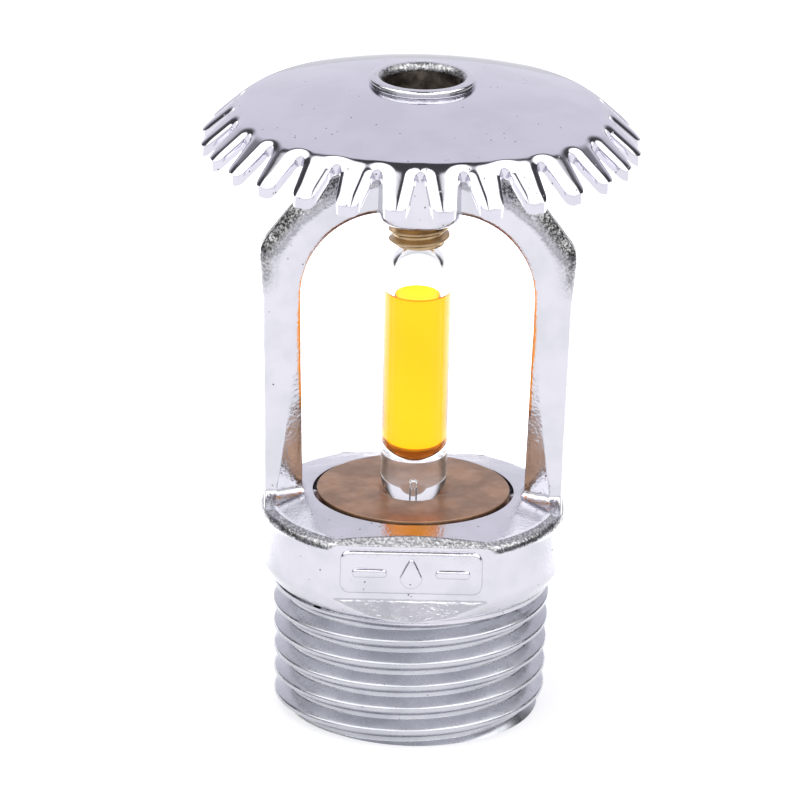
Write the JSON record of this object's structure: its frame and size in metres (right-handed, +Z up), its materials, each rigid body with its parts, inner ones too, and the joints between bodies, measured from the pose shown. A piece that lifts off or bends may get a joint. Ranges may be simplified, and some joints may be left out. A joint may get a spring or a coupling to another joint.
{
  "type": "fire sprinkler head",
  "caption": "Upright glass-bulb fire sprinkler head: threaded inlet, wrench boss, two-arm frame, bulb and seat cap held by a load screw, toothed domed deflector.",
  "frame": {"origin": "centre of the inlet end face, on the axis of the head", "axes": "+Z up along the axis towards the deflector, +X through one frame arm, -Y out of the wrench flat with the raised pad"},
  "size_m": [0.0328, 0.0328, 0.0497],
  "materials": {
    "plated_frame": "bright plating over cast brass, satin on the thread",
    "plated_sheet": "bright plating over pressed sheet",
    "screw_brass": "turned, dull",
    "bulb_glass": "clear, fire-polished ends",
    "yellow_liquid": "clear coloured liquid",
    "cap_brass": "turned, tarnished",
    "spring_metal": "satin",
    "seal_plastic": "smooth film"
  },
  "bodies": {
    "frame_body": {"frame": "plated_frame", "deflector": "plated_sheet", "disc_spring": "spring_metal", "upper_seal_film": "seal_plastic", "lower_seal_film": "seal_plastic"},
    "load_train": {"glass_bulb": "bulb_glass", "bulb_liquid": "yellow_liquid", "seat_cap": "cap_brass"},
    "screw_body": {"load_screw": "screw_brass"}
  },
  "joints": [
    {"name": "cap_lift", "type": "slide", "parent": "frame_body", "child": "load_train", "axis": [0, 0, 1], "range_m": [0, 0.0004], "deforming": ["disc_spring", "upper_seal_film"]},
    {"name": "screw_turn", "type": "hinge", "parent": "load_train", "child": "screw_body", "pos_m": [0, 0, 0.04], "axis": [0, 0, 1], "range_deg": [0, 180]}
  ],
  "couplings": [
    {"joint": "screw_turn", "follows": "cap_lift", "rad_per_m": 7853.9}
  ]
}
